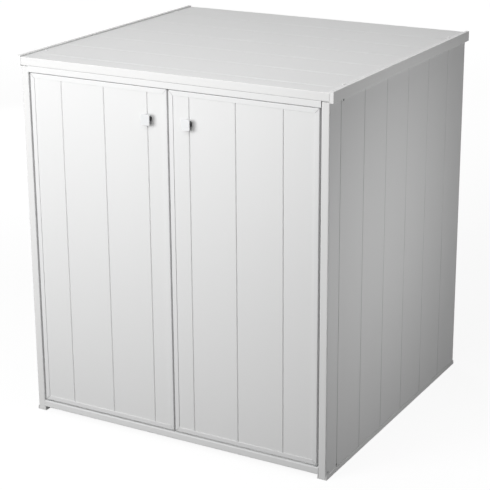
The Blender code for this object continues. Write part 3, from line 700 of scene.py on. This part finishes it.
def crowned_plate(half_width, half_tall, back, front):
    """A plate between two levels, with round edges and a faint crown on its face."""
    rings = []
    for angle in quarter_angles(EDGE_STEPS):
        inset = KNOB_EDGE * (1 - math.sin(angle))
        level = back + KNOB_EDGE * (1 - math.cos(angle))
        rings.append(rounded_ring(half_width - inset, half_tall - inset, KNOB_CORNER, level))
    for angle in quarter_angles(EDGE_STEPS):
        inset = KNOB_EDGE * (1 - math.cos(angle))
        level = front - KNOB_CROWN - KNOB_EDGE * (1 - math.sin(angle))
        rings.append(rounded_ring(half_width - inset, half_tall - inset, KNOB_CORNER, level))
    for share in CROWN_SHARES:
        half_a = (half_width - KNOB_EDGE) * share
        half_b = (half_tall - KNOB_EDGE) * share
        level = front - KNOB_CROWN * share * share
        rings.append(rounded_ring(half_a, half_b, KNOB_CORNER * share, level))
    return loft(rings)


def make_knob(side, finishes):
    """A knob: a bright square plate, crowned and round-edged, on a block neck painted near black as
    shade.
    """
    node = side + "_door_knob"
    body = side + "_door"
    low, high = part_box(node)
    middle = (low + high) / 2
    half_width = (high.x - low.x) / 2
    half_tall = (high.z - low.z) / 2
    projection = high.y - low.y
    foot = Vector((middle.x, high.y, middle.z))
    plate_back = projection - KNOB_PLATE

    plate = crowned_plate(half_width, half_tall, plate_back, projection)
    piece_from(node + "_plate", placed(plate, foot, FORWARDS), finishes["chrome"], body, (node,))

    neck_rings = []
    for level in (0, plate_back + FIT_GAP):
        neck_rings.append(rounded_ring(NECK_WIDTH / 2, NECK_TALL / 2, NECK_CORNER, level))
    neck = loft(neck_rings)
    # The neck's near-black colour is painted shade behind the plate.
    piece_from(node + "_neck", placed(neck, foot, FORWARDS), finishes["neck"], body)


def make_magnet(node, finishes):
    """A catch's two steel poles, and the magnet between them, whose face lies a little behind theirs."""
    low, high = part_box(node)
    middle = (low + high) / 2
    half_width = POLE_WIDTH / 2
    pole_middle = (low.z + high.z - CATCH_FLANGE) / 2
    poles = []
    for way in BOTH_WAYS:
        level = pole_middle + way * POLE_SPACING / 2
        pole_low = (middle.x - half_width, low.y - POLE_STAND_OUT, level - POLE_THICKNESS / 2)
        pole_high = (middle.x + half_width, low.y + POLE_DEPTH, level + POLE_THICKNESS / 2)
        poles.append(box_shape(pole_low, pole_high))
    piece_from(node + "_poles", joined(poles), finishes["steel"], "cabinet")

    half_tall = (POLE_SPACING - POLE_THICKNESS) / 2 - FIT_GAP
    magnet_low = (middle.x - half_width, low.y - MAGNET_STAND_OUT, pole_middle - half_tall)
    magnet_high = (middle.x + half_width, low.y + POLE_DEPTH, pole_middle + half_tall)
    magnet = ease(box_shape(magnet_low, magnet_high), STRIP_EASING)
    piece_from(node + "_magnet", magnet, finishes["neck"], "cabinet")


def make_catch(side, finishes):
    """A magnetic catch: its moulded housing, its poles and magnet, and a screw at each end."""
    node = side + "_magnetic_catch"
    eased_piece(node, SMALL_PART_EASING, finishes["nylon"])
    make_magnet(node, finishes)
    low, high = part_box(node)
    middle = (low + high) / 2
    half_width = (high.x - low.x) / 2
    reach = (half_width * CATCH_BODY_SHARE + half_width) / 2
    places = []
    for way in BOTH_WAYS:
        places.append(Vector((middle.x + way * reach, middle.y, high.z - CATCH_FLANGE)))
    small_screws(node + "_screws", places, DOWNWARDS, "cabinet", finishes["steel"])


def make_strike_plate(side, finishes):
    """A strike plate with its two screws, whose heads lie just under its face, clear of the catch."""
    node = side + "_door_strike_plate"
    eased_piece(node, STRIP_EASING, finishes["steel"])
    low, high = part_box(node)
    middle = (low + high) / 2
    seat = high.y - SMALL_HEAD_HEIGHT
    places = []
    for way in BOTH_WAYS:
        places.append(Vector((middle.x + way * PLATE_SCREW_SPACING / 2, seat, middle.z)))
    small_screws(node + "_screws", places, BACKWARDS, side + "_door", finishes["steel"])


def bracket_outline():
    """A bracket seen along its bend: its corner is at (0, 0), and its arms run along both axes."""
    centre = BRACKET_THICKNESS + BRACKET_BEND
    inner = []
    outer = []
    for angle in quarter_angles(BEND_STEPS):
        inner.append((centre - BRACKET_BEND * math.sin(angle), centre - BRACKET_BEND * math.cos(angle)))
        outer.append((centre - centre * math.cos(angle), centre - centre * math.sin(angle)))
    first_end = [(BRACKET_ARM, 0), (BRACKET_ARM, BRACKET_THICKNESS)]
    second_end = [(BRACKET_THICKNESS, BRACKET_ARM), (0, BRACKET_ARM)]
    return first_end + inner + second_end + outer


def make_bracket(side, level, finishes):
    """A steel angle that holds a rear rail to a side panel from inside, with a screw in each arm."""
    name = f"{side}_rear_{level}_bracket"
    rail_low, rail_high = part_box(f"rear_{level}_rail")
    panel_low, panel_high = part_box(side + "_side_panel")
    inwards = -SIDES[side]
    away = UPWARDS if level == "bottom" else DOWNWARDS
    panel_face = panel_high.x if inwards > 0 else panel_low.x
    rail_face = rail_high.z if level == "bottom" else rail_low.z
    corner_x = panel_face + inwards * FIT_GAP
    corner_z = rail_face + away.z * FIT_GAP
    middle_y = (rail_low.y + rail_high.y) / 2

    def point(place_y, from_panel, from_rail):
        """A point that lies this far from the panel's face and from the rail's."""
        return Vector((corner_x + inwards * from_panel, place_y, corner_z + away.z * from_rail))

    outline = bracket_outline()
    rings = []
    for place_y in (middle_y - BRACKET_WIDTH / 2, middle_y + BRACKET_WIDTH / 2):
        rings.append([point(place_y, *corner) for corner in outline])
    shape = ease(loft(rings), SMALL_PART_EASING)
    piece_from(name, shape, finishes["steel"], "cabinet")

    on_panel = point(middle_y, BRACKET_THICKNESS, BRACKET_SCREW_REACH)
    on_rail = point(middle_y, BRACKET_SCREW_REACH, BRACKET_THICKNESS)
    into_bay = RIGHTWARDS * inwards
    small_screws(name + "_panel_screw", [on_panel], into_bay, "cabinet", finishes["steel"])
    small_screws(name + "_rail_screw", [on_rail], away, "cabinet", finishes["steel"])


def looking_rays(tree):
    """One for the rays that look at a thing, straight, in a mirror or through glass, else nought."""
    path = tree.nodes.new("ShaderNodeLightPath")
    seen = path.outputs["Is Camera Ray"]
    for ray in ("Is Glossy Ray", "Is Transmission Ray"):
        either = tree.nodes.new("ShaderNodeMath")
        either.operation = "MAXIMUM"
        tree.links.new(seen, either.inputs[0])
        tree.links.new(path.outputs[ray], either.inputs[1])
        seen = either.outputs[0]
    return seen


def floor_surface():
    """Plain grey for the light that it gives back, and close to white for what sees it."""
    material, tree, shader = new_surface("floor", FLOOR_COLOUR, FLOOR_ROUGHNESS)
    shader.inputs["Specular IOR Level"].default_value = 0.0
    seen = looking_rays(tree)
    coordinates = tree.nodes.new("ShaderNodeTexCoord")
    distance = tree.nodes.new("ShaderNodeVectorMath")
    distance.operation = "LENGTH"
    tree.links.new(coordinates.outputs["Object"], distance.inputs[0])
    glow = tree.nodes.new("ShaderNodeMapRange")
    glow.inputs["From Min"].default_value = GLOW_NEAR
    glow.inputs["From Max"].default_value = GLOW_FAR
    glow.inputs["To Min"].default_value = GLOW_NEAR_STRENGTH
    glow.inputs["To Max"].default_value = GLOW_FAR_STRENGTH
    tree.links.new(distance.outputs["Value"], glow.inputs["Value"])
    strength = tree.nodes.new("ShaderNodeMath")
    strength.operation = "MULTIPLY"
    tree.links.new(seen, strength.inputs[0])
    tree.links.new(glow.outputs["Result"], strength.inputs[1])
    shader.inputs["Emission Color"].default_value = (1, 1, 1, 1)
    tree.links.new(strength.outputs[0], shader.inputs["Emission Strength"])
    return material


def make_floor():
    """A pale floor: white to the camera and in reflections, with the cabinet's shadow on it."""
    shape = bmesh.new()
    bmesh.ops.create_circle(shape, cap_ends=True, segments=FLOOR_POINTS, radius=FLOOR_RADIUS)
    mesh = bpy.data.meshes.new("floor")
    shape.to_mesh(mesh)
    shape.free()
    floor = bpy.data.objects.new("floor", mesh)
    bpy.context.scene.collection.objects.link(floor)
    floor.location.z = -FLOOR_DROP
    mesh.materials.append(floor_surface())


def make_world():
    """White to what looks at it, and a plain level of light for the rest."""
    world = bpy.data.worlds.new("studio")
    bpy.context.scene.world = world
    world.use_nodes = True
    tree = world.node_tree
    tree.nodes.clear()
    output = tree.nodes.new("ShaderNodeOutputWorld")
    light = tree.nodes.new("ShaderNodeBackground")
    light.inputs["Strength"].default_value = WORLD_LEVEL
    backdrop = tree.nodes.new("ShaderNodeBackground")
    backdrop.inputs["Strength"].default_value = BACKDROP_LEVEL
    for background in (light, backdrop):
        background.inputs["Color"].default_value = (1, 1, 1, 1)
    mix = tree.nodes.new("ShaderNodeMixShader")
    tree.links.new(looking_rays(tree), mix.inputs["Fac"])
    tree.links.new(light.outputs[0], mix.inputs[1])
    tree.links.new(backdrop.outputs[0], mix.inputs[2])
    tree.links.new(mix.outputs[0], output.inputs["Surface"])


def make_lamps():
    """Soft square lamps that neither the camera nor a mirror sees."""
    for name, place, size, power in LAMPS:
        data = bpy.data.lights.new(name, "AREA")
        data.shape = "SQUARE"
        data.size = size
        data.energy = power
        lamp = bpy.data.objects.new(name, data)
        bpy.context.scene.collection.objects.link(lamp)
        lamp.location = place
        lamp.rotation_mode = "QUATERNION"
        lamp.rotation_quaternion = (LAMP_TARGET - place).to_track_quat("-Z", "Y")
        lamp.visible_camera = False
        lamp.visible_glossy = False


def make_camera():
    """The photograph's view: turned by yaw round z, pitched down, and rolled a touch."""
    data = bpy.data.cameras.new("camera")
    data.sensor_width = SENSOR_WIDTH
    data.lens = FOCAL_PIXELS / IMAGE_SIZE * SENSOR_WIDTH
    data.shift_y = CAMERA_SHIFT
    data.clip_end = CAMERA_REACH
    camera = bpy.data.objects.new("camera", data)
    bpy.context.scene.collection.objects.link(camera)
    turn = Matrix.Rotation(CAMERA_YAW, 4, "Z")
    tilt = Matrix.Rotation(QUARTER_TURN - CAMERA_PITCH, 4, "X")
    roll = Matrix.Rotation(CAMERA_ROLL, 4, "Z")
    camera.matrix_world = Matrix.Translation(CAMERA_PLACE) @ turn @ tilt @ roll
    bpy.context.scene.camera = camera


bpy.context.scene.view_settings.view_transform = "Standard"
make_camera()
make_world()
make_lamps()
make_floor()

finishes = make_finishes()
make_lid(finishes)
make_rails(finishes)
for side in SIDES:
    make_side(side, finishes)
    make_door(side, finishes)
    make_pivots(side, finishes)
make_screws(finishes)
for side in SIDES:
    make_knob(side, finishes)
    make_catch(side, finishes)
    make_strike_plate(side, finishes)
    for level in ("top", "bottom"):
        make_bracket(side, level, finishes)
